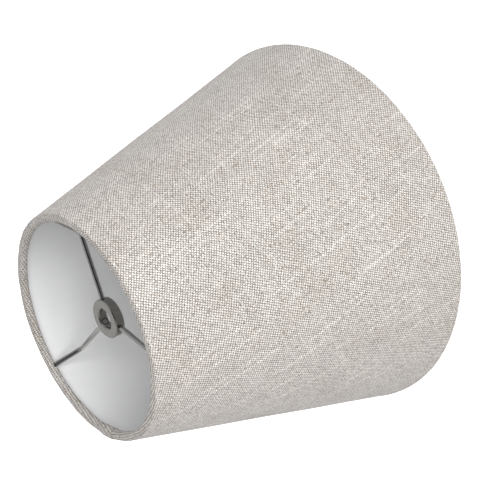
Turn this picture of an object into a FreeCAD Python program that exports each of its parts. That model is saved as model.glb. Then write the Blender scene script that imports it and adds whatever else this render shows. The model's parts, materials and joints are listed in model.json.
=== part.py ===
import FreeCAD, Part
import math
import os

import Sketcher
from FreeCAD import Placement, Rotation, Vector

# A tapered linen lamp shade on a three-arm spider fitter, in millimetres.
#
# The shade stands on the Z axis with its small end up. The origin is the centre of the hub's
# bore, halfway through the hub, where the shade hangs on a lamp's harp. A plastic lining panel
# is rolled into a cone and lapped. A linen cover is bonded round it and turned over a wire
# ring at each end. Three bent arms join the top ring to the hub.

DIMENSIONS = {
    # the shade's outside, over the cover
    "top_diameter": 127.0,
    "bottom_diameter": 228.6,
    "slant_height": 177.8,
    # sheets
    "cover_thickness": 0.5,
    "lining_thickness": 0.4,
    "rim_corner": 1.2,
    "hem_end_angle": 60.0,
    # wire
    "ring_wire": 3.2,
    "glue_film": 0.05,
    "arm_wire": 3.0,
    # hub
    "hub_drop": 17.25,
    "hub_diameter": 22.0,
    "hub_thickness": 5.6,
    "hub_bore": 11.1,
    "hub_edge": 0.5,
    "bore_edge": 0.7,
    "sink_diameter": 4.0,
    "sink_depth": 0.6,
    # arms; they are welded by hand, and the second stands a few degrees off an even third
    "arm_1_azimuth": 0.0,
    "arm_2_azimuth": 114.0,
    "arm_3_azimuth": 240.0,
    "tip_recess": 0.2,
    "bend_reach": 48.0,
    "bend_radius": 6.0,
    "arm_stop": 0.8,
    "notch_clearance": 0.15,
    # the lining's lapped seam, as angles round the axis, and its tape
    "seam_azimuth": 187.0,
    "slit_angle": 0.3,
    "joggle_angle": 1.0,
    "lap_angle": 7.5,
    "lap_trim": 6.0,
    "tape_angle": 6.0,
    "tape_thickness": 0.1,
}
ARMS = (1, 2, 3)
CUT_MARGIN = 1.0  # how far a cutting outline runs past what it cuts

doc = FreeCAD.newDocument("LampShade")
sheet = doc.addObject("Spreadsheet::Sheet", "Sizes")
for row, (alias, number) in enumerate(DIMENSIONS.items(), start=1):
    sheet.set(f"A{row}", alias)
    sheet.set(f"B{row}", str(number))
    sheet.setAlias(f"B{row}", alias)
doc.recompute()


def value(expression):
    """The number that an expression gives with the sheet's present sizes."""
    result = sheet.evalExpression(expression)
    return float(getattr(result, "Value", result))


# Expressions that several sub-parts share. Angles are in degrees.
TAPER = "((Sizes.bottom_diameter - Sizes.top_diameter) / 2)"
HEIGHT = f"sqrt(Sizes.slant_height ^ 2 - {TAPER} ^ 2)"
COSINE = f"({HEIGHT} / Sizes.slant_height)"
HALF_ANGLE = f"asin({TAPER} / Sizes.slant_height)"
TOP = "Sizes.hub_drop"
BOTTOM = f"(Sizes.hub_drop - {HEIGHT})"
WIRE_RADIUS = "(Sizes.ring_wire / 2)"
WRAP_RADIUS = "(Sizes.ring_wire / 2 + Sizes.cover_thickness)"
BORE_RADIUS = "(Sizes.hub_bore / 2)"
ARM_RADIUS = "(Sizes.arm_wire / 2)"
LINING_OUTSIDE = "Sizes.cover_thickness"
LINING_INSIDE = f"({LINING_OUTSIDE} + Sizes.lining_thickness)"
RING_INSET = f"({LINING_INSIDE} + Sizes.glue_film + {WIRE_RADIUS})"


def wall_radius(height, inset="0"):
    """The wall's radius at a height, on a surface inset square to the wall from its outside."""
    return (
        f"(Sizes.top_diameter / 2 + {TAPER} * (Sizes.hub_drop - ({height})) / {HEIGHT}"
        f" - ({inset}) / {COSINE})"
    )


TOP_RING_HEIGHT = f"({TOP} - {WRAP_RADIUS})"
TOP_RING_RADIUS = wall_radius(TOP_RING_HEIGHT, RING_INSET)
BOTTOM_RING_HEIGHT = f"({BOTTOM} + {WRAP_RADIUS})"
BOTTOM_RING_RADIUS = wall_radius(BOTTOM_RING_HEIGHT, RING_INSET)

finished = []


def finish(sub_part, label):
    """Names a sub-part and lists it for export."""
    sub_part.Label = label
    finished.append(sub_part)
    return sub_part


def new_body(label):
    return finish(doc.addObject("PartDesign::Body", "Body"), label)


def plane_of(body, role):
    return next(o for o in body.Origin.OriginFeatures if o.Role == role)


def sketch_on(body, role, name, azimuth=None):
    """A sketch on an upright origin plane, turned round the Z axis if an azimuth is given."""
    sketch = body.newObject("Sketcher::SketchObject", name)
    sketch.AttachmentSupport = [(plane_of(body, role), "")]
    sketch.MapMode = "FlatFace"
    if azimuth:
        sketch.AttachmentOffset = Placement(Vector(), Rotation(Vector(0, 1, 0), 1.0))
        sketch.setExpression("AttachmentOffset.Rotation.Angle", azimuth)
    return sketch


def turn(shape_object, azimuth):
    """Turns an object round the Z axis to an azimuth from the sheet."""
    shape_object.Placement = Placement(Vector(), Rotation(Vector(0, 0, 1), 1.0))
    shape_object.setExpression(".Placement.Rotation.Angle", azimuth)
    return shape_object


class Outline:
    """Draws a sketch piece by piece and ties its sizes and places to the sheet."""

    START, END, CENTRE = 1, 2, 3
    ORIGIN = (-1, 1)
    ACROSS_AXIS, UP_AXIS = -1, -2

    def __init__(self, sketch):
        self.sketch = sketch

    def line(self, start, end):
        segment = Part.LineSegment(Vector(*start, 0), Vector(*end, 0))
        return self.sketch.addGeometry(segment, False)

    def arc(self, centre, radius, first_angle, last_angle):
        circle = Part.Circle(Vector(*centre, 0), Vector(0, 0, 1), radius)
        angles = math.radians(first_angle), math.radians(last_angle)
        return self.sketch.addGeometry(Part.ArcOfCircle(circle, *angles), False)

    def circle(self, centre, radius):
        circle = Part.Circle(Vector(*centre, 0), Vector(0, 0, 1), radius)
        return self.sketch.addGeometry(circle, False)

    def point(self, across, up):
        """A construction point at a place from the sheet."""
        spot = Part.Point(Vector(value(across), value(up), 0))
        piece = self.sketch.addGeometry(spot, True)
        self.place(piece, self.START, across, up)
        return piece

    def rule(self, *words):
        return self.sketch.addConstraint(Sketcher.Constraint(*words))

    def sized(self, expression, *words):
        """A dimension whose value comes from the sheet."""
        number = self.rule(*words, value(expression))
        name = f"size_{number}"
        self.sketch.renameConstraint(number, name)
        self.sketch.setExpression(f"Constraints.{name}", expression)

    def place(self, piece, end, across=None, up=None):
        """Puts a point at a distance across and a height up; zero is on the axis."""
        if across == "0":
            self.rule("PointOnObject", piece, end, self.UP_AXIS)
        elif across:
            self.sized(across, "DistanceX", *self.ORIGIN, piece, end)
        if up == "0":
            self.rule("PointOnObject", piece, end, self.ACROSS_AXIS)
        elif up:
            self.sized(up, "DistanceY", *self.ORIGIN, piece, end)

    def polygon(self, corners):
        """A closed polygon through places from the sheet."""
        spots = [(value(across), value(up)) for across, up in corners]
        following = spots[1:] + spots[:1]
        sides = [self.line(start, end) for start, end in zip(spots, following)]
        for side, next_side in zip(sides, sides[1:] + sides[:1]):
            self.rule("Coincident", side, self.END, next_side, self.START)
        for side, (across, up) in zip(sides, corners):
            self.place(side, self.START, across, up)


def turned(body, sketch, name):
    """A sketch revolved once round the Z axis."""
    feature = body.newObject("PartDesign::Revolution", name)
    feature.Profile = sketch
    feature.ReferenceAxis = (sketch, ["V_Axis"])
    feature.Angle = 360.0
    doc.recompute()
    return feature


def cut(body, kind, sketch, name, **settings):
    """A groove or pocket, which must leave less of its body than there was."""
    before = body.Shape.Volume
    feature = body.newObject(kind, name)
    feature.Profile = sketch
    for setting, choice in settings.items():
        setattr(feature, setting, choice)
    doc.recompute()
    body.Tip = feature
    if not body.Shape.Volume < before:
        raise RuntimeError(f"{body.Label}: {name} cuts nothing")
    return feature


def make_hub():
    """A turned ring with flat faces to clamp, eased edges and a countersunk hole for each arm."""
    body = new_body("hub")
    face = "(Sizes.hub_thickness / 2)"
    outside = "(Sizes.hub_diameter / 2)"
    section = Outline(sketch_on(body, "XZ_Plane", "HubSection"))
    section.polygon(
        [
            (f"{BORE_RADIUS} + Sizes.bore_edge", face),
            (BORE_RADIUS, f"{face} - Sizes.bore_edge"),
            (BORE_RADIUS, f"Sizes.bore_edge - {face}"),
            (f"{BORE_RADIUS} + Sizes.bore_edge", f"-{face}"),
            (f"{outside} - Sizes.hub_edge", f"-{face}"),
            (outside, f"Sizes.hub_edge - {face}"),
            (outside, f"{face} - Sizes.hub_edge"),
            (f"{outside} - Sizes.hub_edge", face),
        ]
    )
    turned(body, section.sketch, "HubTurned")
    for number in ARMS:
        azimuth = f"Sizes.arm_{number}_azimuth"
        hole = Outline(sketch_on(body, "XZ_Plane", f"TipHole{number}", azimuth))
        hole.polygon(
            [
                (f"{BORE_RADIUS} - {CUT_MARGIN}", "0"),
                (f"{outside} + {CUT_MARGIN}", "0"),
                (f"{outside} + {CUT_MARGIN}", ARM_RADIUS),
                (f"{BORE_RADIUS} + Sizes.sink_depth", ARM_RADIUS),
                (BORE_RADIUS, "Sizes.sink_diameter / 2"),
                (f"{BORE_RADIUS} - {CUT_MARGIN}", "Sizes.sink_diameter / 2"),
            ]
        )
        cut(
            body,
            "PartDesign::Groove",
            hole.sketch,
            f"TipHoleCut{number}",
            ReferenceAxis=(hole.sketch, ["H_Axis"]),
            Angle=360.0,
        )


def draw_wire(body, name, radius, height):
    """A ring wire's round section, at the ring's place."""
    section = Outline(sketch_on(body, "XZ_Plane", name))
    centre = (value(radius), value(height))
    wire = section.circle(centre, value(WIRE_RADIUS))
    section.place(wire, Outline.CENTRE, radius, height)
    section.sized(WIRE_RADIUS, "Radius", wire)
    return section.sketch


def make_ring(label, radius, height):
    """A hoop of round wire."""
    body = new_body(label)
    turned(body, draw_wire(body, "WireSection", radius, height), "Hoop")


def draw_arm_path(body):
    """The arm's centre line: level from its tip in the hub, round the bend and up to the ring."""
    tip = f"({BORE_RADIUS} + Sizes.tip_recess)"
    ring = (value(TOP_RING_RADIUS), value(TOP_RING_HEIGHT))
    reach = value("Sizes.bend_reach")
    bend = value("Sizes.bend_radius")
    stop = value("Sizes.arm_stop")
    rise = math.atan2(ring[1], ring[0] - reach)
    setback = bend * math.tan(rise / 2)
    bend_start = (reach - setback, 0)
    bend_end = (reach + setback * math.cos(rise), setback * math.sin(rise))
    arm_end = (ring[0] - stop * math.cos(rise), ring[1] - stop * math.sin(rise))

    path = Outline(sketch_on(body, "XZ_Plane", "ArmPath"))
    level = path.line((value(tip), 0), bend_start)
    curve = path.arc((bend_start[0], bend), bend, -90, math.degrees(rise) - 90)
    slope = path.line(bend_end, arm_end)
    path.place(level, Outline.START, tip, "0")
    path.rule("Horizontal", level)
    path.rule("Tangent", level, Outline.END, curve, Outline.START)
    path.rule("Tangent", curve, Outline.END, slope, Outline.START)
    path.sized("Sizes.bend_radius", "Radius", curve)
    corner = path.point("Sizes.bend_reach", "0")
    path.rule("PointOnObject", corner, Outline.START, slope)
    ring_centre = path.point(TOP_RING_RADIUS, TOP_RING_HEIGHT)
    path.rule("PointOnObject", ring_centre, Outline.START, slope)
    ends = (slope, Outline.END, ring_centre, Outline.START)
    path.sized("Sizes.arm_stop", "Distance", *ends)
    return path.sketch


def make_arm(number):
    """A bent wire whose outer end is saddled to the top ring."""
    body = new_body(f"arm_{number}")
    path = draw_arm_path(body)
    section = Outline(sketch_on(body, "YZ_Plane", "ArmSection"))
    section.sketch.AttachmentOffset = Placement(Vector(0, 0, 1), Rotation())
    section.sketch.setExpression(
        "AttachmentOffset.Base.z", f"{BORE_RADIUS} + Sizes.tip_recess"
    )
    wire = section.circle((0, 0), value(ARM_RADIUS))
    section.rule("Coincident", wire, Outline.CENTRE, *Outline.ORIGIN)
    section.sized(ARM_RADIUS, "Radius", wire)
    doc.recompute()
    pipe = body.newObject("PartDesign::AdditivePipe", "ArmWire")
    pipe.Profile = section.sketch
    pipe.Spine = (path, ["Edge1", "Edge2", "Edge3"])
    doc.recompute()
    seat = draw_wire(body, "RingSeat", TOP_RING_RADIUS, TOP_RING_HEIGHT)
    cut(
        body,
        "PartDesign::Groove",
        seat,
        "RingSeatCut",
        ReferenceAxis=(seat, ["V_Axis"]),
        Angle=360.0,
    )
    turn(body, f"Sizes.arm_{number}_azimuth")


# The lining's lap, as insets from the shade's outside, and the heights that each sheet spans.
TAPE_INSIDE = f"({LINING_INSIDE} + Sizes.tape_thickness)"
LAP_INSIDE = f"({TAPE_INSIDE} + Sizes.lining_thickness)"
PANEL_SPAN = (f"({BOTTOM} + Sizes.cover_thickness)", f"({TOP} - Sizes.cover_thickness)")
LAP_SPAN = (f"({BOTTOM} + Sizes.lap_trim)", f"({TOP} - Sizes.lap_trim)")


def cone_sheet(name, outer_inset, inner_inset, span, sweep):
    """Part of the wall between two insets, over a span of heights, swept from the +X axis."""
    low, high = span
    cones = []
    for side, inset in (("Outer", outer_inset), ("Inner", inner_inset)):
        cone = doc.addObject("Part::Cone", f"{name}{side}")
        cone.setExpression("Radius1", wall_radius(low, inset))
        cone.setExpression("Radius2", wall_radius(high, inset))
        cone.setExpression("Height", f"{high} - {low}")
        cone.setExpression(".Placement.Base.z", low)
        cones.append(cone)
    cones[0].setExpression("Angle", sweep)
    shell = doc.addObject("Part::Cut", name)
    shell.Base, shell.Tool = cones
    return shell


def make_lining():
    """The rolled panel, whose last few millimetres step inward and lap behind its first edge."""
    panel_sweep = "360 - Sizes.slit_angle"
    step_start = "360 - Sizes.slit_angle - Sizes.joggle_angle"
    lap_sweep = "Sizes.joggle_angle + Sizes.slit_angle + Sizes.lap_angle"
    panel = cone_sheet("Panel", LINING_OUTSIDE, LINING_INSIDE, PANEL_SPAN, panel_sweep)
    step = cone_sheet("Step", LINING_OUTSIDE, LAP_INSIDE, LAP_SPAN, "Sizes.joggle_angle")
    lap = cone_sheet("Lap", TAPE_INSIDE, LAP_INSIDE, LAP_SPAN, lap_sweep)
    turn(step, step_start)
    turn(lap, step_start)
    lining = doc.addObject("Part::MultiFuse", "Lining")
    lining.Shapes = [panel, step, lap]
    finish(turn(lining, "Sizes.seam_azimuth"), "lining_panel")


def make_seam_tape():
    """The double-sided tape inside the lining's lap."""
    tape = cone_sheet("Tape", LINING_INSIDE, TAPE_INSIDE, LAP_SPAN, "Sizes.tape_angle")
    finish(turn(tape, "Sizes.seam_azimuth"), "lining_seam_tape")


def draw_hem(outline, walls, wall_end, ring, rim, up):
    """One end of the cover's section, folded over the rim and round the ring.

    walls are the wall's outer and inner lines, and wall_end says which end of them this hem
    joins. ring is the ring's radius and height, rim is the rim's height, and up is 1 at the
    top of the shade and -1 at the bottom.
    """
    wall_out, wall_in = walls
    ring_across, ring_height = value(ring[0]), value(ring[1])
    rim_height = value(rim)
    shelf_height = rim_height - up * value("Sizes.cover_thickness")
    shelf_end = value(wall_radius(shelf_height, "Sizes.cover_thickness"))
    corner = value("Sizes.rim_corner")
    corner_height = rim_height - up * corner
    corner_across = value(wall_radius(corner_height, "Sizes.rim_corner"))
    slope = value(HALF_ANGLE)
    tuck = value("Sizes.hem_end_angle")
    wrap, wire = value(WRAP_RADIUS), value(WIRE_RADIUS)
    if up > 0:
        fold_angles, wrap_angles = (slope, 90), (90, 360 - tuck)
        first, last = Outline.START, Outline.END
    else:
        fold_angles, wrap_angles = (-90, slope), (tuck, 270)
        first, last = Outline.END, Outline.START
    end_angle = math.radians(-up * tuck)
    hem_end = [
        (ring_across + r * math.cos(end_angle), ring_height + r * math.sin(end_angle))
        for r in (wrap, wire)
    ]

    fold = outline.arc((corner_across, corner_height), corner, *fold_angles)
    rim_line = outline.line((corner_across, rim_height), (ring_across, rim_height))
    wrap_out = outline.arc((ring_across, ring_height), wrap, *wrap_angles)
    cut_edge = outline.line(*hem_end)
    wrap_in = outline.arc((ring_across, ring_height), wire, *wrap_angles)
    shelf = outline.line((ring_across, shelf_height), (shelf_end, shelf_height))

    outline.rule("Tangent", wall_out, wall_end, fold, first)
    outline.rule("Tangent", fold, last, rim_line, Outline.START)
    outline.rule("Tangent", rim_line, Outline.END, wrap_out, first)
    outline.rule("Coincident", wrap_out, last, cut_edge, Outline.START)
    outline.rule("Coincident", cut_edge, Outline.END, wrap_in, last)
    outline.rule("Tangent", shelf, Outline.START, wrap_in, first)
    outline.rule("Coincident", shelf, Outline.END, wall_in, wall_end)
    outline.rule("Coincident", wrap_in, Outline.CENTRE, wrap_out, Outline.CENTRE)
    outline.rule("PointOnObject", wrap_out, Outline.CENTRE, cut_edge)
    outline.rule("Horizontal", rim_line)
    outline.rule("Horizontal", shelf)
    outline.place(rim_line, Outline.END, up=rim)
    outline.sized("Sizes.rim_corner", "Radius", fold)
    outline.sized(WRAP_RADIUS, "Radius", wrap_out)
    outline.sized(WIRE_RADIUS, "Radius", wrap_in)
    outline.sized(RING_INSET, "Distance", wrap_out, Outline.CENTRE, wall_out)
    tuck_reach = f"{WIRE_RADIUS} * cos(Sizes.hem_end_angle)"
    ends = (wrap_in, Outline.CENTRE, cut_edge, Outline.END)
    outline.sized(tuck_reach, "DistanceX", *ends)


def draw_cover(body):
    """The cover's section: a straight wall with a hem at each end."""
    section = Outline(sketch_on(body, "XZ_Plane", "CoverSection"))
    fold_rise = f"Sizes.rim_corner * sin({HALF_ANGLE})"
    lines = []
    for inset, low, high in (
        (
            "0",
            f"{BOTTOM} + Sizes.rim_corner + {fold_rise}",
            f"{TOP} - Sizes.rim_corner + {fold_rise}",
        ),
        ("Sizes.cover_thickness", *PANEL_SPAN),
    ):
        ends = [(value(wall_radius(z, inset)), value(z)) for z in (low, high)]
        lines.append(section.line(*ends))
    wall_out, wall_in = lines
    for diameter, rim in (("Sizes.top_diameter", TOP), ("Sizes.bottom_diameter", BOTTOM)):
        rim_point = section.point(f"{diameter} / 2", rim)
        section.rule("PointOnObject", rim_point, Outline.START, wall_out)
    section.rule("Parallel", wall_out, wall_in)
    gap = (wall_in, Outline.START, wall_out)
    section.sized("Sizes.cover_thickness", "Distance", *gap)
    top_ring = (TOP_RING_RADIUS, TOP_RING_HEIGHT)
    bottom_ring = (BOTTOM_RING_RADIUS, BOTTOM_RING_HEIGHT)
    draw_hem(section, lines, Outline.END, top_ring, TOP, up=1)
    draw_hem(section, lines, Outline.START, bottom_ring, BOTTOM, up=-1)
    return section.sketch


def draw_notch(body, number):
    """The outline of the slit where an arm passes through the hem: an arch with straight sides."""
    half_width = f"({ARM_RADIUS} + Sizes.notch_clearance)"
    spring = f"({TOP_RING_HEIGHT} - {WIRE_RADIUS} / 2)"
    foot = f"({TOP_RING_HEIGHT} - {WRAP_RADIUS} - {CUT_MARGIN})"
    half = value(half_width)
    azimuth = f"Sizes.arm_{number}_azimuth"
    notch = Outline(sketch_on(body, "YZ_Plane", f"ArmNotch{number}", azimuth))
    arch = notch.arc((0, value(spring)), half, 0, 180)
    left = notch.line((-half, value(spring)), (-half, value(foot)))
    base = notch.line((-half, value(foot)), (half, value(foot)))
    right = notch.line((half, value(foot)), (half, value(spring)))
    notch.rule("Tangent", arch, Outline.END, left, Outline.START)
    notch.rule("Coincident", left, Outline.END, base, Outline.START)
    notch.rule("Coincident", base, Outline.END, right, Outline.START)
    notch.rule("Tangent", right, Outline.END, arch, Outline.START)
    notch.rule("Vertical", left)
    notch.rule("Horizontal", base)
    notch.rule("Vertical", right)
    notch.place(arch, Outline.CENTRE, across="0", up=spring)
    notch.place(base, Outline.START, up=foot)
    notch.sized(half_width, "Radius", arch)
    return notch.sketch


def make_cover():
    """The linen, bonded to the lining, turned over both rings and slit round each arm."""
    body = new_body("linen_cover")
    turned(body, draw_cover(body), "CoverTurned")
    notch_reach = f"{TOP_RING_RADIUS} + {WIRE_RADIUS}"
    for number in ARMS:
        pocket = cut(
            body,
            "PartDesign::Pocket",
            draw_notch(body, number),
            f"ArmNotchCut{number}",
            Length=value(notch_reach),
            Reversed=True,
        )
        pocket.setExpression("Length", notch_reach)


make_hub()
for arm_number in ARMS:
    make_arm(arm_number)
make_ring("top_ring", TOP_RING_RADIUS, TOP_RING_HEIGHT)
make_ring("bottom_ring", BOTTOM_RING_RADIUS, BOTTOM_RING_HEIGHT)
make_lining()
make_seam_tape()
make_cover()
doc.recompute()

failed = [o.Label for o in doc.Objects if {"Invalid", "Error"} & set(o.State)]
if failed:
    raise RuntimeError(f"these objects failed: {failed}")
for sub_part in finished:
    shape = sub_part.Shape
    if shape.isNull() or not shape.isValid() or len(shape.Solids) != 1:
        raise RuntimeError(f"{sub_part.Label} isn't one valid solid")

os.makedirs("parts", exist_ok=True)
for sub_part in finished:
    sub_part.Shape.exportStep(os.path.join("parts", f"{sub_part.Label}.step"))
    print(f"{sub_part.Label}: {sub_part.Shape.Volume:.1f} mm3")
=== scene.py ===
import json
import math

import bpy
import numpy as np
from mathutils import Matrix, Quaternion, Vector

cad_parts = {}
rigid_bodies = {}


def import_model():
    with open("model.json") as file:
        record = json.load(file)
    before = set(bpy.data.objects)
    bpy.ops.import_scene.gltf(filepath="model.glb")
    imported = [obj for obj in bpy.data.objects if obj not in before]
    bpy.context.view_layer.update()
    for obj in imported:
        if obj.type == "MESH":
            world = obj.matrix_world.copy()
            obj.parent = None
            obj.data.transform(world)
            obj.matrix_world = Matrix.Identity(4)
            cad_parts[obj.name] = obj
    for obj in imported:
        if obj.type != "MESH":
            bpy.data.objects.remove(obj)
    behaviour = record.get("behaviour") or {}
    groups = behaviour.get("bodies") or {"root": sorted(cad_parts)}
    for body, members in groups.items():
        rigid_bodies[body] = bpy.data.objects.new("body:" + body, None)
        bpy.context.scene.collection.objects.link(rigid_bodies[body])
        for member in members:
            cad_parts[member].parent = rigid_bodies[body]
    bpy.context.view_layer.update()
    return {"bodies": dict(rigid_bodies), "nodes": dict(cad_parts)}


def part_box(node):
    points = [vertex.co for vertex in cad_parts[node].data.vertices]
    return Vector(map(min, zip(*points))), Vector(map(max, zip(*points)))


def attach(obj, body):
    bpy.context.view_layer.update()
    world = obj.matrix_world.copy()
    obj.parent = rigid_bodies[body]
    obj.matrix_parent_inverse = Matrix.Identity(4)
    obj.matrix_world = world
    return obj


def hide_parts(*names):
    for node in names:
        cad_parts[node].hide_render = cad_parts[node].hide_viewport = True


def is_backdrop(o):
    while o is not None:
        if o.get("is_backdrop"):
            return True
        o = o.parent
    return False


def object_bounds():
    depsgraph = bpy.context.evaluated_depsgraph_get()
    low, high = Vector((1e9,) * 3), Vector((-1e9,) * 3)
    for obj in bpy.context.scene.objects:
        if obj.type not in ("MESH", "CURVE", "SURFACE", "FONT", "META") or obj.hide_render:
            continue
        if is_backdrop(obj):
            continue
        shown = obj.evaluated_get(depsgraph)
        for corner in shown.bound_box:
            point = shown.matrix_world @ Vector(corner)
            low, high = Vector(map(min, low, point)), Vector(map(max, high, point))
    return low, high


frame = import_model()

# A tapered linen lamp shade, dressed over its CAD frame. Lengths are in metres, and angles are
# in degrees round +Z from +X unless a line says otherwise.
#
# The linen cover and the plastic lining are built here as thin closed sheets. Both are rolled
# into the same cone and lapped where their ends meet. The cover is also turned over a wire ring
# at each end. The hub, the arms, the rings and the seam tape keep their CAD shapes.

MM = 0.001
ROOT = next(iter(frame["bodies"]))     # the one body, which everything rides on
rng = np.random.default_rng(314)


# ---------------------------------------------------------------- sizes

COVER_STOCK = 0.5 * MM     # the space that the cover has in the CAD
CLOTH = 0.46 * MM          # the cloth itself, a little thinner, so that layers don't touch
LINING_STOCK = 0.4 * MM
LINING_SHEET = 0.38 * MM
TAPE_STOCK = 0.1 * MM
GLUE_FILM = 0.05 * MM

COVER_SEAM = 166.0         # where the cover starts
LINING_SEAM = 187.0        # where the lining starts
ARM_ANGLES = (0.0, 114.0, 240.0)

WARP_PITCH = 0.95 * MM     # the threads that run from rim to rim
WEFT_PITCH = 0.845 * MM    # the threads that run round the shade
WARP_ANGLE = 338.0         # where the warp runs straight down the cone


def ring_centre(node):
    """A ring wire's centre as its radius and height, and the wire's own radius."""
    low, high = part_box(node)
    wire = (high[2] - low[2]) / 2
    return (high[0] - low[0]) / 2 - wire, (high[2] + low[2]) / 2, wire


TOP_RING_RADIUS, TOP_RING_HEIGHT, WIRE = ring_centre("top_ring")
BOTTOM_RING_RADIUS, BOTTOM_RING_HEIGHT, _ = ring_centre("bottom_ring")
COVER_LOW, COVER_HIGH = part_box("linen_cover")
TOP_RIM, BOTTOM_RIM = COVER_HIGH[2], COVER_LOW[2]

# The wall is a cone. Its half angle comes from the two rings, and it stands off their centres.
TAN = (BOTTOM_RING_RADIUS - TOP_RING_RADIUS) / (TOP_RING_HEIGHT - BOTTOM_RING_HEIGHT)
HALF_ANGLE = math.atan(TAN)
SIN, COS = math.sin(HALF_ANGLE), math.cos(HALF_ANGLE)
RING_INSET = COVER_STOCK + LINING_STOCK + GLUE_FILM + WIRE


def wall_radius(height):
    """The radius of the wall's outside at a height."""
    return TOP_RING_RADIUS + RING_INSET / COS + TAN * (TOP_RING_HEIGHT - height)


APEX_SLANT = wall_radius(TOP_RIM) / SIN       # from the cone's apex to the top rim
WALL_SLANT = (TOP_RIM - BOTTOM_RIM) / COS     # from rim to rim, along the wall


# ---------------------------------------------------------------- camera

VIEW_AZIMUTH = 11.0                  # how far the level view is turned from +Y
VIEW_DOWN = 35.493                   # how steeply it looks down
VIEW_ROLL = 113.315
VIEW_DISTANCE = 0.58142
VIEW_AIM = Vector((0.01005, 0.00186, -0.09893))
LENS = 73.74                         # in millimetres


def make_camera():
    """Looks down on the shade's small end, rolled so that the shade seems to lie on its side."""
    turn, down = math.radians(VIEW_AZIMUTH), math.radians(VIEW_DOWN)
    level = Vector((-math.sin(turn), math.cos(turn), 0)) * math.cos(down)
    direction = level - Vector((0, 0, math.sin(down)))
    data = bpy.data.cameras.new("camera")
    data.lens = LENS
    data.clip_end = 20.0
    camera = bpy.data.objects.new("camera", data)
    bpy.context.scene.collection.objects.link(camera)
    camera.location = VIEW_AIM - direction * VIEW_DISTANCE
    roll = Quaternion((0, 0, 1), -math.radians(VIEW_ROLL))
    camera.rotation_mode = "QUATERNION"
    camera.rotation_quaternion = direction.to_track_quat("-Z", "Y") @ roll
    bpy.context.scene.camera = camera


make_camera()


# ---------------------------------------------------------------- shader nodes

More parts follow.
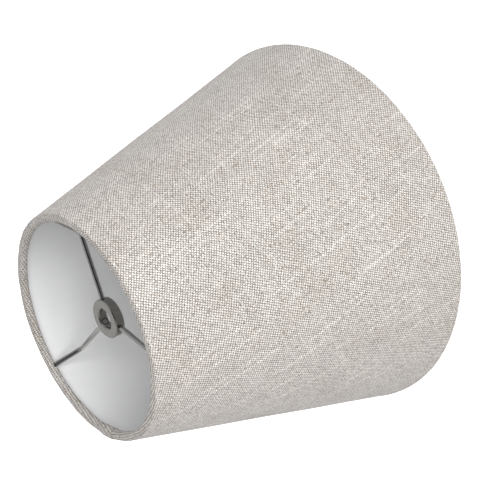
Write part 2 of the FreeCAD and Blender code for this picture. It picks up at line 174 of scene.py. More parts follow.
class Shader:
    """A material, and short ways to add nodes to it. Each way gives the new node's output."""

    def __init__(self, name):
        self.material = bpy.data.materials.new(name)
        self.material.use_nodes = True
        self.tree = self.material.node_tree
        self.surface = self.tree.nodes["Principled BSDF"]

    def node(self, kind, **settings):
        made = self.tree.nodes.new(kind)
        for name, choice in settings.items():
            setattr(made, name, choice)
        return made

    def put(self, socket, source):
        """Sets a socket to a number or colour, or links it to another node's output."""
        if isinstance(source, bpy.types.NodeSocket):
            self.tree.links.new(source, socket)
        else:
            socket.default_value = source

    def set(self, **sockets):
        """Sets sockets of the surface, with an underscore for each space in the name."""
        for name, source in sockets.items():
            self.put(self.surface.inputs[name.replace("_", " ")], source)

    def math(self, operation, *values):
        made = self.node("ShaderNodeMath", operation=operation)
        for socket, source in zip(made.inputs, values):
            self.put(socket, source)
        return made.outputs[0]

    def add(self, *values):
        total = values[0]
        for value in values[1:]:
            total = self.math("ADD", total, value)
        return total

    def times(self, *values):
        total = values[0]
        for value in values[1:]:
            total = self.math("MULTIPLY", total, value)
        return total

    def mad(self, value, factor, offset):
        return self.math("MULTIPLY_ADD", value, factor, offset)

    def weigh(self, base, *parts):
        """A base plus each part times its weight, from (part, weight) pairs."""
        total = base
        for part, weight in parts:
            total = self.add(total, self.times(part, weight))
        return total

    def step(self, value, low, high):
        """A smooth rise from 0 at low to 1 at high."""
        made = self.node("ShaderNodeMapRange", interpolation_type="SMOOTHSTEP")
        self.put(made.inputs["Value"], value)
        made.inputs["From Min"].default_value = low
        made.inputs["From Max"].default_value = high
        return made.outputs[0]

    def split(self, vector):
        made = self.node("ShaderNodeSeparateXYZ")
        self.put(made.inputs[0], vector)
        return made.outputs[0], made.outputs[1], made.outputs[2]

    def join(self, x, y, z=0.0):
        made = self.node("ShaderNodeCombineXYZ")
        for socket, source in zip(made.inputs, (x, y, z)):
            self.put(socket, source)
        return made.outputs[0]

    def noise(self, vector, scale, detail=2.0, roughness=0.5, dimensions="3D"):
        """Cloudy noise about 0.5."""
        made = self.node("ShaderNodeTexNoise", noise_dimensions=dimensions)
        self.put(made.inputs["Vector"], vector)
        made.inputs["Scale"].default_value = scale
        made.inputs["Detail"].default_value = detail
        made.inputs["Roughness"].default_value = roughness
        return made.outputs["Fac"]

    def flat_noise(self, x, y, scale=1.0, detail=2.0, roughness=0.5):
        """Cloudy noise about 0.5, over a pair of numbers."""
        return self.noise(self.join(x, y), scale, detail, roughness, dimensions="2D")

    def grain(self, scale, detail=2.0, roughness=0.5):
        """Cloudy noise about 0.5, all through the object."""
        return self.noise(self.place(), scale, detail, roughness)

    def scatter(self, x, y):
        """A number from 0 to 1 for each pair of numbers."""
        made = self.node("ShaderNodeTexWhiteNoise", noise_dimensions="2D")
        self.put(made.inputs["Vector"], self.join(x, y))
        return made.outputs["Value"]

    def mix(self, factor, first, second):
        """first where factor is 0 and second where it is 1, as colours."""
        made = self.node("ShaderNodeMix", data_type="RGBA")
        self.put(made.inputs[0], factor)
        for socket, source in zip((made.inputs[6], made.inputs[7]), (first, second)):
            self.put(socket, source if isinstance(source, bpy.types.NodeSocket) else (*source, 1.0))
        return made.outputs[2]

    def pick(self, factor, first, second):
        """first where factor is 0 and second where it is 1, as numbers."""
        made = self.node("ShaderNodeMix", data_type="FLOAT")
        self.put(made.inputs[0], factor)
        self.put(made.inputs[2], first)
        self.put(made.inputs[3], second)
        return made.outputs[0]

    def shade(self, colour, brightness):
        """A colour times a number."""
        made = self.node("ShaderNodeVectorMath", operation="SCALE")
        self.put(made.inputs[0], colour)
        self.put(made.inputs["Scale"], brightness)
        return made.outputs[0]

    def bump(self, height, distance, strength):
        made = self.node("ShaderNodeBump")
        made.inputs["Strength"].default_value = strength
        made.inputs["Distance"].default_value = distance
        self.put(made.inputs["Height"], height)
        return made.outputs[0]

    def place(self):
        """The point in the object's own metres."""
        return self.node("ShaderNodeTexCoord").outputs["Object"]

    def from_axis(self):
        """The point's distance from the object's Z axis."""
        x, y, _ = self.split(self.place())
        return self.math("SQRT", self.add(self.times(x, x), self.times(y, y)))

    def cloth_place(self):
        """The point on the flat cloth, in metres."""
        return self.node("ShaderNodeUVMap", uv_map="Cloth").outputs["UV"]


# ---------------------------------------------------------------- the linen's look

FLAX_PALE = (0.83, 0.785, 0.735)
FLAX_MID = (0.60, 0.545, 0.50)
FLAX_TAN = (0.42, 0.33, 0.235)
PITH_WHITE = (0.95, 0.92, 0.88)

# Each set of threads has a seed, the noise above which a thread swells into a slub, its plain
# brightness, and how far apart its threads' flecks are drawn. The warp has more slubs.
WARP_LOOK = (11.3, 0.675, 1.06, 3.77)
WEFT_LOOK = (57.9, 0.755, 0.34, 4.19)

# How fast the threads wander off their lines, slowly and quickly, in turns of noise per metre.
WARP_WANDER = (70.0, 480.0)
WEFT_WANDER = (85.0, 520.0)
JITTER = 0.38              # how far the quick wander reaches, in pitches

LANE_GAP = 7.317           # keeps the noise of neighbouring threads apart
THICKNESS_RATE = 0.11      # how fast a thread's thickness changes, in turns of noise per crossing
SLUB_RATE = 0.009          # a slub changes far more slowly, so it is long
FLECK_RATE = 0.42
STREAK_RATE = 0.6          # the fine streaks along a thread
STREAKS = 5.0              # how many of them lie side by side
SLUB_FADE = 0.06           # how much more noise takes a thread from plain to a full slub
FLECK_FROM, FLECK_TO = 0.74, 0.82
GAP_HEIGHT = -0.6          # the height of the gaps between threads
LIT_HEIGHT = 0.8           # from here up, a thread is fully lit
CROSS_FADE = 0.06          # how softly one thread passes over another
WEAVE_RELIEF = 0.16 * MM


def count_threads(shader, across, along, pitch, wander):
    """Counts threads across the cloth from a place on it.

    Gives the count, the whole number that names a thread, and the place across that thread
    from -0.5 to 0.5.
    """
    drift_scale, jitter_scale = wander
    drift = shader.flat_noise(across, along, drift_scale)
    jitter = shader.flat_noise(across, along, jitter_scale, detail=1.0)
    count = shader.add(shader.times(across, 1 / pitch), drift, shader.times(jitter, JITTER))
    index = shader.math("FLOOR", count)
    return count, index, shader.math("SUBTRACT", shader.math("SUBTRACT", count, index), 0.5)


def thread_set(shader, index, across, along, elevation, look):
    """One set of parallel threads, at a point.

    index names the thread, across runs from -0.5 to 0.5 over its pitch, along counts
    crossings, and elevation is 1 where the thread passes over the other set and -1 where
    it passes under. Gives the thread's height, its brightness, how much of a slub it is and
    the noise that its flecks come from.
    """
    seed, slub_from, plain, fleck_gap = look
    lane = shader.mad(index, LANE_GAP, seed)
    thickness = shader.flat_noise(lane, shader.times(along, THICKNESS_RATE))
    swelling = shader.flat_noise(shader.add(lane, 3.1), shader.times(along, SLUB_RATE), detail=1.0)
    slub = shader.step(swelling, slub_from, slub_from + SLUB_FADE)
    own = shader.scatter(index, seed)
    odd = shader.math("FLOORED_MODULO", index, 2.0)
    knot = shader.scatter(lane, shader.math("FLOOR", along))

    half_width = shader.weigh(0.34, (thickness, 0.12), (knot, 0.08))
    offset = shader.math("DIVIDE", across, half_width)
    roundness = shader.math("SUBTRACT", 1.0, shader.times(offset, offset))
    body = shader.math("SQRT", shader.math("MAXIMUM", roundness, 0.0))
    height = shader.weigh(0.0, (elevation, 0.5), (body, 0.5), (slub, 0.30))
    height = shader.math("SUBTRACT", height, shader.math("LESS_THAN", roundness, 0.0))

    fibres = shader.join(shader.times(across, STREAKS), shader.times(along, STREAK_RATE), lane)
    streak = shader.noise(fibres, 1.0, 3.0, 0.65)
    tones = ((own, 0.13), (odd, 0.07), (thickness, 0.10), (streak, 0.16), (knot, 0.38), (slub, 0.19))
    brightness = shader.weigh(plain, *tones)
    fleck_place = (shader.times(index, fleck_gap), shader.times(along, FLECK_RATE))
    return height, brightness, slub, shader.flat_noise(*fleck_place, detail=0.0)


def make_linen():
    """Plain-woven natural flax: uneven threads, pale slubs, tan flecks, and painted shade in the gaps
    between threads and where one passes under another.
    """
    shader = Shader("linen")
    flat_x, flat_y, _ = shader.split(shader.cloth_place())
    warp_at, warp, across_warp = count_threads(shader, flat_x, flat_y, WARP_PITCH, WARP_WANDER)
    weft_at, weft, across_weft = count_threads(shader, flat_y, flat_x, WEFT_PITCH, WEFT_WANDER)

    parity = shader.math("FLOORED_MODULO", shader.add(warp, weft), 2.0)
    side = shader.mad(parity, -2.0, 1.0)
    warp_rise = shader.times(side, shader.math("COSINE", shader.times(across_weft, math.pi)))
    weft_rise = shader.times(side, -1.0, shader.math("COSINE", shader.times(across_warp, math.pi)))
    warp_set = thread_set(shader, warp, across_warp, weft_at, warp_rise, WARP_LOOK)
    weft_set = thread_set(shader, weft, across_weft, warp_at, weft_rise, WEFT_LOOK)

    warp_over = shader.math("SUBTRACT", warp_set[0], weft_set[0])
    warp_on_top = shader.step(warp_over, -CROSS_FADE, CROSS_FADE)
    height = shader.math("MAXIMUM", shader.math("MAXIMUM", warp_set[0], weft_set[0]), GAP_HEIGHT)
    pairs = zip(weft_set[1:], warp_set[1:])
    light, slub, fleck_noise = [shader.pick(warp_on_top, under, over) for under, over in pairs]
    fleck = shader.step(fleck_noise, FLECK_FROM, FLECK_TO)
    tan_area = shader.step(shader.flat_noise(flat_y, flat_x, 38.0), 0.50, 0.72)

    colour = shader.mix(shader.step(light, 0.55, 1.3), FLAX_MID, FLAX_PALE)
    tints = ((fleck, 0.75, FLAX_TAN), (tan_area, 0.10, FLAX_TAN), (slub, 0.28, PITH_WHITE))
    for part, weight, tint in tints:
        colour = shader.mix(shader.times(part, weight), colour, tint)
    # Painted shade: the gaps between threads, and each thread where it passes under the other set, are
    # darkened by their height.
    occluded = shader.mad(shader.step(height, GAP_HEIGHT, LIT_HEIGHT), 0.80, 0.16)
    # Painted shade: each warp thread is darker towards its sides, where it turns away into the groove.
    warp_groove_shade = shader.mad(shader.times(across_warp, across_warp), -0.8, 1.0)
    blotch = shader.mad(shader.flat_noise(flat_x, flat_y, 55.0, 3.0, 0.6), 0.07, 0.430)
    colour = shader.shade(colour, shader.times(occluded, light, warp_groove_shade, blotch))

    shader.set(Base_Color=colour, Roughness=0.92)
    shader.set(Specular_IOR_Level=0.25, Sheen_Weight=0.12, Sheen_Roughness=0.55)
    relief = shader.weigh(height, (shader.grain(2600.0, 2.0, 0.6), 0.35))
    shader.set(Normal=shader.bump(relief, WEAVE_RELIEF, 0.8))
    return shader.material


# ---------------------------------------------------------------- other materials

LINING_SHADES = ((0.67, 0.675, 0.68), (0.74, 0.74, 0.74))
COATING_SHADES = ((0.78, 0.78, 0.76), (0.45, 0.43, 0.41))      # white, and worn
TAPE_SHADES = ((0.80, 0.76, 0.62), (0.92, 0.90, 0.82))         # clear, and in its bubbles
PAPER_SHADES = ((0.90, 0.90, 0.90), (0.94, 0.94, 0.94))

# Nickel's darker and paler tone, and how bright it is face on, as a part of its edges: a painted shade
# face on, against a painted reflection at the edges.
DRAWN_NICKEL = ((0.44, 0.435, 0.42), (0.54, 0.53, 0.515), 0.55)
# The turned nickel's tones are darker than nickel's own: a painted shade for the dark that the hub
# reflects.
TURNED_NICKEL = ((0.30, 0.292, 0.268), (0.36, 0.352, 0.324), 0.85)

# The floor paper's glow is weaker under the shade than round it: a painted shadow under the shade.
GLOW_FROM, GLOW_TO = 0.09, 0.13      # where it grows, from the shade's axis
GLOW_UNDER, GLOW_MORE = 0.32, 0.18


def make_lining_plastic():
    """White styrene sheet: smooth, slightly glossy, with a faint mottle and rolled streaks."""
    shader = Shader("lining_plastic")
    x, y, z = shader.split(shader.place())
    mottle = shader.grain(30.0, 3.0, 0.55)
    stretched = shader.join(shader.times(x, 4.0), shader.times(y, 4.0), shader.times(z, 0.4))
    tone = shader.weigh(0.0, (mottle, 0.5), (shader.noise(stretched, 60.0, 3.0), 0.5))
    colour = shader.mix(tone, *LINING_SHADES)
    shader.set(Base_Color=colour, Roughness=shader.mad(tone, 0.18, 0.40), Specular_IOR_Level=0.4)
    relief = shader.weigh(mottle, (shader.grain(1800.0, 2.0, 0.6), 0.06))
    shader.set(Normal=shader.bump(relief, 0.35 * MM, 0.35))
    return shader.material


def make_nickel(name, lines, dark, pale, face_on_shade):
    """Bright nickel plate over turned or drawn steel.

    lines gives the tool marks' height, and the last argument is how bright it is face on, against its
    edges: painted shade face on, and a painted reflection at the edges.
    """
    shader = Shader(name)
    cloud = shader.grain(220.0, 3.0, 0.6)
    speck = shader.grain(1900.0, 2.0, 0.5)
    marks = lines(shader)
    # Painted shade and reflection: the plate is darker face on and brighter towards its edges.
    edge = shader.step(shader.node("ShaderNodeLayerWeight").outputs["Facing"], 0.15, 0.60)
    colour = shader.shade(shader.mix(cloud, dark, pale), shader.mad(edge, 1 - face_on_shade, face_on_shade))
    rough = shader.weigh(0.10, (cloud, 0.10), (marks, 0.08))
    shader.set(Base_Color=colour, Metallic=1.0, Roughness=rough)
    relief = shader.weigh(0.0, (marks, 0.5), (speck, 0.5))
    shader.set(Normal=shader.bump(relief, 0.02 * MM, 0.35))
    return shader.material


def turned_lines(shader):
    """Fine rings about the Z axis, as a lathe leaves."""
    _, _, z = shader.split(shader.place())
    return shader.noise(shader.join(shader.from_axis(), z), 5200.0, 2.0, 0.6)


def drawn_lines(shader):
    """Fine lines along a wire that runs out from the Z axis, as a die leaves."""
    x, y, z = shader.split(shader.place())
    around = shader.math("ARCTAN2", y, x)
    return shader.noise(shader.join(shader.times(around, 0.04), z), 5200.0, 2.0, 0.6)


def make_ring_steel():
    """White-coated steel wire, a little lumpy."""
    shader = Shader("ring_steel")
    lumps = shader.grain(500.0, 3.0, 0.5)
    worn = shader.step(shader.grain(160.0, 3.0), 0.62, 0.70)
    colour = shader.mix(shader.times(worn, 0.4), *COATING_SHADES)
    shader.set(Base_Color=colour, Roughness=shader.mad(lumps, 0.25, 0.3))
    shader.set(Normal=shader.bump(lumps, 0.08 * MM, 0.6))
    return shader.material


def make_tape():
    """Clear double-sided tape, slightly yellow, with small bubbles."""
    shader = Shader("tape")
    bubbles = shader.step(shader.grain(700.0), 0.60, 0.66)
    colour = shader.mix(bubbles, *TAPE_SHADES)
    shader.set(Base_Color=colour, Roughness=shader.mad(bubbles, 0.3, 0.2))
    shader.set(Normal=shader.bump(bubbles, 0.05 * MM, 0.5))
    return shader.material


def make_floor_paper():
    """Seamless white studio paper, which glows a little so that it stays white, and glows less under the
    shade as a painted shadow.
    """
    shader = Shader("floor_paper")
    colour = shader.mix(shader.grain(400.0, 3.0), *PAPER_SHADES)
    shader.set(Base_Color=colour, Roughness=0.95, Specular_IOR_Level=0.1)
    # Painted shadow: the glow drops under the shade.
    glow = shader.mad(shader.step(shader.from_axis(), GLOW_FROM, GLOW_TO), GLOW_MORE, GLOW_UNDER)
    shader.set(Emission_Color=(1.0, 1.0, 1.0, 1.0), Emission_Strength=glow)
    return shader.material


# ---------------------------------------------------------------- the cone and its sheets

SHARP_FROM = 50.0      # edges that turn by more than this are drawn sharp


def make_waves(count, rounds, lengths, heights):
    """Seeded waves over the cone: (waves round it, phase, waves down it, phase, height) each."""
    waves = []
    for _ in range(count):
        waves.append(
            (
                rng.integers(*rounds),
                rng.uniform(0, 2 * math.pi),
                rng.uniform(*lengths),
                rng.uniform(0, 2 * math.pi),
                rng.uniform(*heights),
            )
        )
    return waves


WALL_WAVES = make_waves(9, rounds=(2, 9), lengths=(0.5, 2.5), heights=(0.02 * MM, 0.07 * MM))
HEM_WAVES = make_waves(14, rounds=(5, 40), lengths=(0.2, 1.0), heights=(0.015 * MM, 0.05 * MM))


def waviness(waves, angle, part):
    """The height of some waves at an angle and a part, 0 to 1, of the way down."""
    turn = np.radians(angle)
    total = 0.0
    for around, phase, down, down_phase, height in waves:
        level = np.sin(around * turn + phase)
        total = total + height * level * np.sin(2 * math.pi * down * part + down_phase)
    return total


def smooth_step(value, low, high):
    """A smooth rise from 0 at low to 1 at high."""
    part = np.clip((value - low) / (high - low), 0, 1)
    return part * part * (3 - 2 * part)


def wall_wave(angle, slant):
    """How far the wall stands off its cone. It fades out at a slant of 0 and of WALL_SLANT."""
    part = np.clip(slant / WALL_SLANT, 0, 1)
    return waviness(WALL_WAVES, angle, part) * np.sin(math.pi * part) ** 1.2


def distances(line):
    """How far along a line each of its points is."""
    gaps = np.linalg.norm(np.diff(line, axis=0), axis=1)
    return np.concatenate([[0.0], np.cumsum(gaps)])


def outward_of(line):
    """Unit normals at a line's points, on the left of its direction."""
    along = np.gradient(line, axis=0)
    along /= np.linalg.norm(along, axis=1)[:, None]
    return np.stack([-along[:, 1], along[:, 0]], axis=-1)


def arc(centre, radius, first, last, count):
    """Points on an arc, with its angles taken from straight outward towards straight up."""
    angles = np.radians(np.linspace(first, last, count))
    return np.stack([centre[0] + radius * np.cos(angles), centre[1] + radius * np.sin(angles)], axis=-1)


def closed_sheet(name, outer, inner, flat):
    """A closed thin mesh between two grids of points, rows by columns by 3.

    flat holds each grid point's place on the flat cloth, in metres.
    """
    rows, columns = outer.shape[:2]
    number = np.arange(rows * columns).reshape(rows, columns)
    back = number + rows * columns

    def strip(first, second):
        """Quads between two lines of vertices."""
        return np.stack([first[:-1], first[1:], second[1:], second[:-1]], axis=-1).reshape(-1, 4)

    def grid(ids):
        corners = (ids[:-1, :-1], ids[1:, :-1], ids[1:, 1:], ids[:-1, 1:])
        return np.stack(corners, axis=-1).reshape(-1, 4)

    faces = np.concatenate(
        [
            grid(number),
            grid(back)[:, ::-1],
            strip(number[0], back[0]),
            strip(back[-1], number[-1]),
            strip(back[:, 0], number[:, 0]),
            strip(number[:, -1], back[:, -1]),
        ]
    )
    points = np.concatenate([outer.reshape(-1, 3), inner.reshape(-1, 3)])
    mesh = bpy.data.meshes.new(name)
    mesh.from_pydata(points, [], faces.tolist())
    layer = mesh.uv_layers.new(name="Cloth")
    places = np.concatenate([flat.reshape(-1, 2)] * 2)
    corner_vertex = np.empty(len(mesh.loops), dtype=np.int32)
    mesh.loops.foreach_get("vertex_index", corner_vertex)
    layer.data.foreach_set("uv", places[corner_vertex].astype(np.float32).ravel())
    mesh.shade_smooth()
    mesh.set_sharp_from_angle(angle=math.radians(SHARP_FROM))
    mesh.validate()
    piece = bpy.data.objects.new(name, mesh)
    bpy.context.scene.collection.objects.link(piece)
    return piece


def on_cloth(angle, slant):
    """The place on the flat cloth of a point on the cone, slant measured from the apex."""
    turn = np.radians(angle - WARP_ANGLE) * SIN
    return np.stack([slant * np.sin(turn), slant * np.cos(turn)], axis=-1)


def in_space(radius, height, angle):
    turn = np.radians(angle)
    return np.stack([radius * np.cos(turn), radius * np.sin(turn), height], axis=-1)


# ---------------------------------------------------------------- the linen cover

# A hem's outline. Its angles go round the ring's wire, from straight outward towards straight up.
WRAP_RADIUS = WIRE + COVER_STOCK
TUCK_ANGLE = 292.0            # where the roll ends
ROLL_FROM = 92.0              # where it starts
CORNER_FROM = 88.0            # where the folded rim's corner starts
RIM_CORNER = 0.8 * MM         # how round that corner is
WALL_GAP = 0.3 * MM           # from the corner to the wall's first point
HEM_DEPTH = 4.0 * MM          # how far past the ring's centre a hem's own line goes, along the wall
ROLL_POINTS, CORNER_POINTS, WALL_POINTS = 60, 16, 16
LINE_POINTS = 400             # how many even points the whole outline is then given
SOFTENING = 40                # smoothing passes over a hem's outline

# How far the cloth stands proud of its outline.
TOP_PUFF = 0.096 * MM         # round the top ring
BOTTOM_PUFF = 0.88 * MM       # round the bottom ring
INNER_PUFF = 0.45 * MM        # more, on the top roll's inner side
INNER_FROM, INNER_TO = -1.0 * MM, 1.5 * MM    # where that side begins, inward from the ring's centre
ARM_BULGE = 0.35 * MM         # more again, beside an arm
BULGE_WIDTH = 2.6 * MM
PUFF_GROWS = 3.0 * MM         # the puff grows over this much of the section from its end
PUFF_FROM, PUFF_TO = 8.5 * MM, 12.0 * MM      # and it fades between these

# The edges cut by hand.
ARM_CROSSING = TOP_RING_RADIUS - WRAP_RADIUS  # the radius where an arm passes the roll
SLIT_TOP = 190.0              # how high the slit for an arm reaches round the roll
SLIT_HALF_WIDTH = 1.6 * MM
SLIT_FLARE = 2.1              # the slit's half width at its open end, in times its least
RAGGED = 0.25 * MM            # how far a cut edge falls short, on average

# The seam, measured round the shade from the cover's first edge.
SEAM_ROOM = 3.6               # degrees before the seam where plain columns stop
SEAM_FROM = -4.2 * MM         # where the seam's own columns start
RISE_FROM, RISE_TO = -3.6 * MM, 0.2 * MM      # where the last edge rises over the first
RISEN = 0.4 * MM              # the last column of that rise
LAP_FROM = 1.6 * MM           # the next column, where the cloth lies flat on the layer below
LAP_WIDTH = 9.0 * MM          # how far the folded seam edge reaches over the first edge
FOLD_FROM, FOLD_TO = 60.0, -90.0              # the angles of the fold's arc, from top to underside
UNDER_GAP = 1.0 * MM          # from the fold's middle to the next column under it
TURNED_UNDER = 6.5 * MM
RISE_COLUMNS, FLAT_COLUMNS, FOLD_COLUMNS, UNDER_COLUMNS = 12, 6, 6, 4
LAP_PRESSED = 0.35            # how much of their thickness the seam's layers keep at the rims

HEM_ROWS, WALL_ROWS = 30, 58


def hem_line(rim_rise, lean):
    """The outside of one hem, from the tuck to the wall, and its length before it is softened.

    Points are (outward, up) from the ring's centre. lean is the wall's outward slope going up,
    and rim_rise is how far the rim is above the ring's centre. The hem is smoothed a little,
    because cloth doesn't hold a sharp corner.
    """
    tilt = math.atan(lean)
    stand = RING_INSET / math.cos(tilt)
    corner_up = rim_rise - RIM_CORNER
    corner_out = stand + lean * corner_up - RIM_CORNER / math.cos(tilt)
    roll = arc((0.0, 0.0), WRAP_RADIUS, TUCK_ANGLE, ROLL_FROM, ROLL_POINTS)
    corner_centre = (corner_out, corner_up)
    corner = arc(corner_centre, RIM_CORNER, CORNER_FROM, -math.degrees(tilt), CORNER_POINTS)
    wall_up = np.linspace(corner[-1, 1] - WALL_GAP, -HEM_DEPTH, WALL_POINTS)
    wall = np.stack([stand + lean * wall_up, wall_up], axis=-1)
    line = np.concatenate([roll, corner, wall])
    steps = distances(line)
    even = np.linspace(0, steps[-1], LINE_POINTS)
    line = np.stack([np.interp(even, steps, line[:, axis]) for axis in (0, 1)], axis=-1)
    for _ in range(SOFTENING):
        line[1:-1] = 0.25 * line[:-2] + 0.5 * line[1:-1] + 0.25 * line[2:]
    return line, steps[-1]


class CoverSection:
    """The outside of the cover from its top tuck, over the rim, down to its bottom tuck."""

    def __init__(self):
        top, self.top_hem = hem_line(TOP_RIM - TOP_RING_HEIGHT, -TAN)
        bottom, self.bottom_hem = hem_line(BOTTOM_RING_HEIGHT - BOTTOM_RIM, TAN)
        top = (TOP_RING_RADIUS, TOP_RING_HEIGHT) + top
        bottom = (BOTTOM_RING_RADIUS, BOTTOM_RING_HEIGHT) + bottom * (1, -1)
        self.line = np.concatenate([top, bottom[::-1]])
        self.outward = outward_of(self.line)
        self.steps = distances(self.line)
        self.length = self.steps[-1]

    def at(self, step):
        """The radius, height and outward normal at distances along the section."""
        values = [np.interp(step, self.steps, column) for column in (*self.line.T, *self.outward.T)]
        return values[0], values[1], np.stack(values[2:], axis=-1)

    def roll(self, step):
        """How much a point belongs to a hem's roll: 1 on the roll, 0 on the wall and at its end."""
        from_tuck = np.minimum(step, self.length - step)
        return smooth_step(from_tuck, 0.0, PUFF_GROWS) * (1 - smooth_step(from_tuck, PUFF_FROM, PUFF_TO))


def column_angles(first, last):
    """Angles every degree or so, and finer beside each arm's slit."""
    coarse, fine, near = 1.2, 0.3, 3.6
    angles = np.arange(first, last, coarse)
    for arm in ARM_ANGLES:
        for turn in (0.0, 360.0):
            centre = arm + turn
            if first + near < centre < last - near:
                angles = angles[np.abs(angles - centre) > near]
                angles = np.append(angles, centre + np.arange(-near, near + fine / 2, fine))
    return np.sort(angles)


def seam_path():
    """The cover's last edge, as its mid-line: (along, lift) over the first edge, then folded under.

    along is measured round the shade from the first edge, and lift from the cover's outside.
    """
    middle = -COVER_STOCK / 2
    over = middle + 2 * COVER_STOCK
    rise_along = np.linspace(SEAM_FROM, RISEN, RISE_COLUMNS)
    rise = middle + (over - middle) * smooth_step(rise_along, RISE_FROM, RISE_TO)
    fold_at = LAP_WIDTH - COVER_STOCK / 2
    flat_along = np.linspace(LAP_FROM, fold_at, FLAT_COLUMNS)
    fold_centre = (fold_at, over - COVER_STOCK / 2)
    fold = arc(fold_centre, COVER_STOCK / 2, FOLD_FROM, FOLD_TO, FOLD_COLUMNS)
    under_along = np.linspace(fold_at - UNDER_GAP, LAP_WIDTH - TURNED_UNDER, UNDER_COLUMNS)
    under = np.full_like(under_along, over - COVER_STOCK)
    return np.concatenate(
        [
            np.stack([rise_along, rise], axis=-1),
            np.stack([flat_along, np.full_like(flat_along, over)], axis=-1),
            fold,
            np.stack([under_along, under], axis=-1),
        ]
    )


def from_nearest_arm(angle):
    """How far round the roll the nearest arm is."""
    away = [np.abs((angle - arm + 180.0) % 360.0 - 180.0) for arm in ARM_ANGLES]
    return np.radians(np.min(away, axis=0)) * ARM_CROSSING


def slit_depth(angle):
    """How much shorter the tuck is where the cloth is slit round an arm."""
    deepest = math.radians(TUCK_ANGLE - SLIT_TOP) * WRAP_RADIUS
    clear = smooth_step(from_nearest_arm(angle), SLIT_HALF_WIDTH, SLIT_FLARE * SLIT_HALF_WIDTH)
    return deepest * (1 - clear)


def ragged(angle, rounds, more_rounds, phase):
    """How far a cut edge falls short, by two waves round the shade: up to twice RAGGED."""
    wave = np.sin(np.radians(angle * rounds)) * np.sin(np.radians(angle * more_rounds + phase))
    return RAGGED * (1 + wave)


def cover_steps(section, angle):
    """How far along the section each row is, at each column's angle."""
    top_cut = slit_depth(angle) + ragged(angle, 11, 7, 40)
    bottom_cut = ragged(angle, 13, 5, 70)
    top_rows = np.linspace(0, 1, HEM_ROWS, endpoint=False)[:, None]
    wall_rows = np.linspace(0, 1, WALL_ROWS, endpoint=False)[:, None]
    bottom_rows = np.append(top_rows, 1.0)[:, None]
    bottom_start = section.length - section.bottom_hem
    wall = section.top_hem + wall_rows * (bottom_start - section.top_hem)
    return np.concatenate(
        [
            top_cut + top_rows * (section.top_hem - top_cut),
            wall * np.ones_like(angle),
            bottom_start + bottom_rows * (section.bottom_hem - bottom_cut),
        ]
    )


def hem_puff(section, step, radius, angle):
    """How far the cloth stands proud of a hem's outline."""
    is_top = step < section.length / 2
    inner_side = np.where(is_top, smooth_step(TOP_RING_RADIUS - radius, INNER_FROM, INNER_TO), 0.0)
    beside_arm = np.exp(-((from_nearest_arm(angle) / BULGE_WIDTH) ** 2))
    puff = np.where(is_top, TOP_PUFF, BOTTOM_PUFF) + waviness(HEM_WAVES, angle, step / section.length)
    return puff + inner_side * (INNER_PUFF + ARM_BULGE * beside_arm)


def make_cover():
    """The linen: rolled into the cone, lapped, and turned over both rings.

    Its columns are plain ones round the shade, then the seam's, which share one angle and reach
    on from it by along. The waves and the weave are laid from the edge of the top tuck.
    """
    section = CoverSection()
    seam = seam_path()
    angles = column_angles(COVER_SEAM, COVER_SEAM + 360.0 - SEAM_ROOM)
    plain = np.zeros(len(angles))
    angle = np.concatenate([angles, np.full(len(seam), COVER_SEAM + 360.0)])
    along = np.concatenate([plain, seam[:, 0]])
    lift = np.concatenate([plain - COVER_STOCK / 2, seam[:, 1]])
    cloth_along = np.concatenate([plain, distances(seam) + seam[0, 0]])
    side = np.concatenate([np.stack([plain, plain + 1], axis=-1), outward_of(seam)])

    step = cover_steps(section, angle)
    radius, height, outward = section.at(step)
    roll = section.roll(step)
    stand = wall_wave(angle, step) + roll * hem_puff(section, step, radius, angle)

    def face(half):
        """One side of the cloth, half a thickness off its mid-line."""
        offset = lift + half * side[:, 1]
        pressed = np.where(offset > 0, offset * (1 - (1 - LAP_PRESSED) * roll), offset)
        off = stand + pressed
        turned = angle + np.degrees((along + half * side[:, 0]) / radius)
        return in_space(radius + off * outward[..., 0], height + off * outward[..., 1], turned)

    flat = on_cloth(angle + np.degrees(cloth_along / radius), APEX_SLANT + step)
    piece = closed_sheet("linen_cover_cloth", face(CLOTH / 2), face(-CLOTH / 2), flat)
    piece.data.materials.append(make_linen())
    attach(piece, ROOT)
    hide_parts("linen_cover")


# ---------------------------------------------------------------- the lining

LINING_SHORT = 1.1 * MM                # from each rim to the panel's edge
LAP_TRIM = 6.0 * MM                    # the same on the lap, which is cut shorter
LAP_ANGLE = 7.5                        # how far the lap reaches
LINING_COLUMN = 1.25                   # degrees between plain columns
STEP_COLUMNS, LAP_COLUMNS = 12, 7
LAP_GAP = 1.0                          # degrees from the step's last column to the lap's first
LINING_ROWS = 72
RIPPLE, RIPPLES = 0.08 * MM, 23        # shallow waves that only ever sink inward

# In degrees before the lap starts: where plain columns stop, where the panel steps inward, and
# where its edges are cut back.
PLAIN_TO = 3.0
STEP_FROM, STEP_TO = 1.9, 0.25
TRIM_FROM, TRIM_TO = 2.2, 0.4


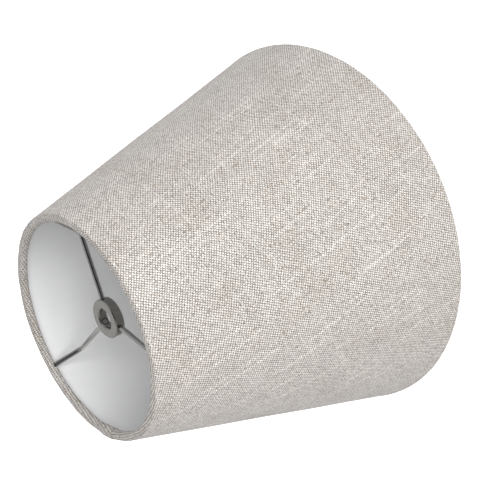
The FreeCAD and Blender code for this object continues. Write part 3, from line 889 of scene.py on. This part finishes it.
def make_lining():
    """The styrene panel, whose last edge steps inward and laps behind the first."""
    plain_inset = COVER_STOCK + LINING_STOCK / 2
    lap_inset = plain_inset + LINING_STOCK + TAPE_STOCK
    end = LINING_SEAM + 360.0
    angles = np.concatenate(
        [
            np.arange(LINING_SEAM, end - PLAIN_TO, LINING_COLUMN),
            np.linspace(end - TRIM_FROM, end, STEP_COLUMNS),
            np.linspace(end + LAP_GAP, end + LAP_ANGLE, LAP_COLUMNS),
        ]
    )
    inset = plain_inset + (lap_inset - plain_inset) * smooth_step(angles, end - STEP_FROM, end - STEP_TO)
    trim = LINING_SHORT + (LAP_TRIM - LINING_SHORT) * smooth_step(angles, end - TRIM_FROM, end - TRIM_TO)
    rows = np.linspace(0, 1, LINING_ROWS)[:, None]
    slant = trim + rows * (WALL_SLANT - 2 * trim)
    ripple = RIPPLE * np.sin(np.radians(angles * RIPPLES)) * np.sin(math.pi * rows) ** 2
    stand = wall_wave(angles, slant) - np.abs(ripple)

    def face(half):
        """One side of the panel, half a thickness off its mid-line."""
        off = stand - inset + half
        height = TOP_RIM - slant * COS
        return in_space(wall_radius(height) + off * COS, height + off * SIN, angles)

    flat = on_cloth(angles, APEX_SLANT + slant)
    piece = closed_sheet("lining_sheet", face(LINING_SHEET / 2), face(-LINING_SHEET / 2), flat)
    piece.data.materials.append(make_lining_plastic())
    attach(piece, ROOT)
    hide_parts("lining_panel")


# ---------------------------------------------------------------- the CAD's own pieces

def dress(node, material):
    """Gives a CAD node's slots a material."""
    piece = frame["nodes"][node]
    if not piece.material_slots:
        piece.data.materials.append(material)
    for place in piece.material_slots:
        place.material = material


def dress_cad_nodes():
    drawn = make_nickel("drawn_nickel", drawn_lines, *DRAWN_NICKEL)
    for number in range(1, len(ARM_ANGLES) + 1):
        dress(f"arm_{number}", drawn)
    dress("hub", make_nickel("turned_nickel", turned_lines, *TURNED_NICKEL))
    coated = make_ring_steel()
    dress("top_ring", coated)
    dress("bottom_ring", coated)
    dress("lining_seam_tape", make_tape())


# ---------------------------------------------------------------- floor, light and air

FLOOR_REACH = 6.0
SHADE_MIDDLE = Vector((0, 0, -0.08))

# Each soft box has a name, a place, a width and a power in watts.
SOFT_BOXES = (
    ("key", (0.31, -1.37, 0.61), 1.0, 31.0),
    ("back_fill", (-0.4, 1.6, 0.5), 1.2, 9.0),
)

STUDIO_PALE = (0.72, 0.72, 0.735, 1.0)
STUDIO_DARK = (0.03, 0.03, 0.035, 1.0)
DARK_WAY = Vector((0.12, -0.80, 0.58)).normalized()   # the way to the dark's middle, near the camera
DARK_FROM, DARK_TO = 0.62, 0.93                       # cosines of the angle from it, pale to dark


def make_floor(height):
    mesh = bpy.data.meshes.new("floor")
    corners = [(x * FLOOR_REACH, y * FLOOR_REACH, height) for x, y in ((-1, -1), (1, -1), (1, 1), (-1, 1))]
    mesh.from_pydata(corners, [], [(0, 1, 2, 3)])
    floor = bpy.data.objects.new("floor", mesh)
    mesh.materials.append(make_floor_paper())
    bpy.context.scene.collection.objects.link(floor)
    floor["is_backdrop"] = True


def make_soft_box(name, place, width, power):
    """A square light that is aimed at the shade and that mirror reflections don't show."""
    data = bpy.data.lights.new(name, "AREA")
    data.shape = "SQUARE"
    data.size = width
    data.energy = power
    light = bpy.data.objects.new(name, data)
    bpy.context.scene.collection.objects.link(light)
    light.location = place
    light.rotation_mode = "QUATERNION"
    light.rotation_quaternion = (SHADE_MIDDLE - Vector(place)).to_track_quat("-Z", "Y")
    light.visible_glossy = False


def make_air():
    """A pale studio, dark round the camera, as the metal shows it."""
    world = bpy.data.worlds.new("studio")
    world.use_nodes = True
    tree = world.node_tree
    background = tree.nodes["Background"]
    coordinates = tree.nodes.new("ShaderNodeTexCoord")
    nearness = tree.nodes.new("ShaderNodeVectorMath")
    nearness.operation = "DOT_PRODUCT"
    nearness.inputs[1].default_value = DARK_WAY
    ramp = tree.nodes.new("ShaderNodeValToRGB")
    tree.links.new(coordinates.outputs["Generated"], nearness.inputs[0])
    tree.links.new(nearness.outputs["Value"], ramp.inputs[0])
    tree.links.new(ramp.outputs[0], background.inputs["Color"])
    ramp.color_ramp.interpolation = "EASE"
    pale, dark = ramp.color_ramp.elements
    pale.position, dark.position = DARK_FROM, DARK_TO
    pale.color, dark.color = STUDIO_PALE, STUDIO_DARK
    background.inputs["Strength"].default_value = 1.0
    bpy.context.scene.world = world


make_cover()
make_lining()
dress_cad_nodes()
make_floor(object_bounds()[0][2])
make_air()
for soft_box in SOFT_BOXES:
    make_soft_box(*soft_box)
bpy.context.scene.view_settings.view_transform = "Standard"
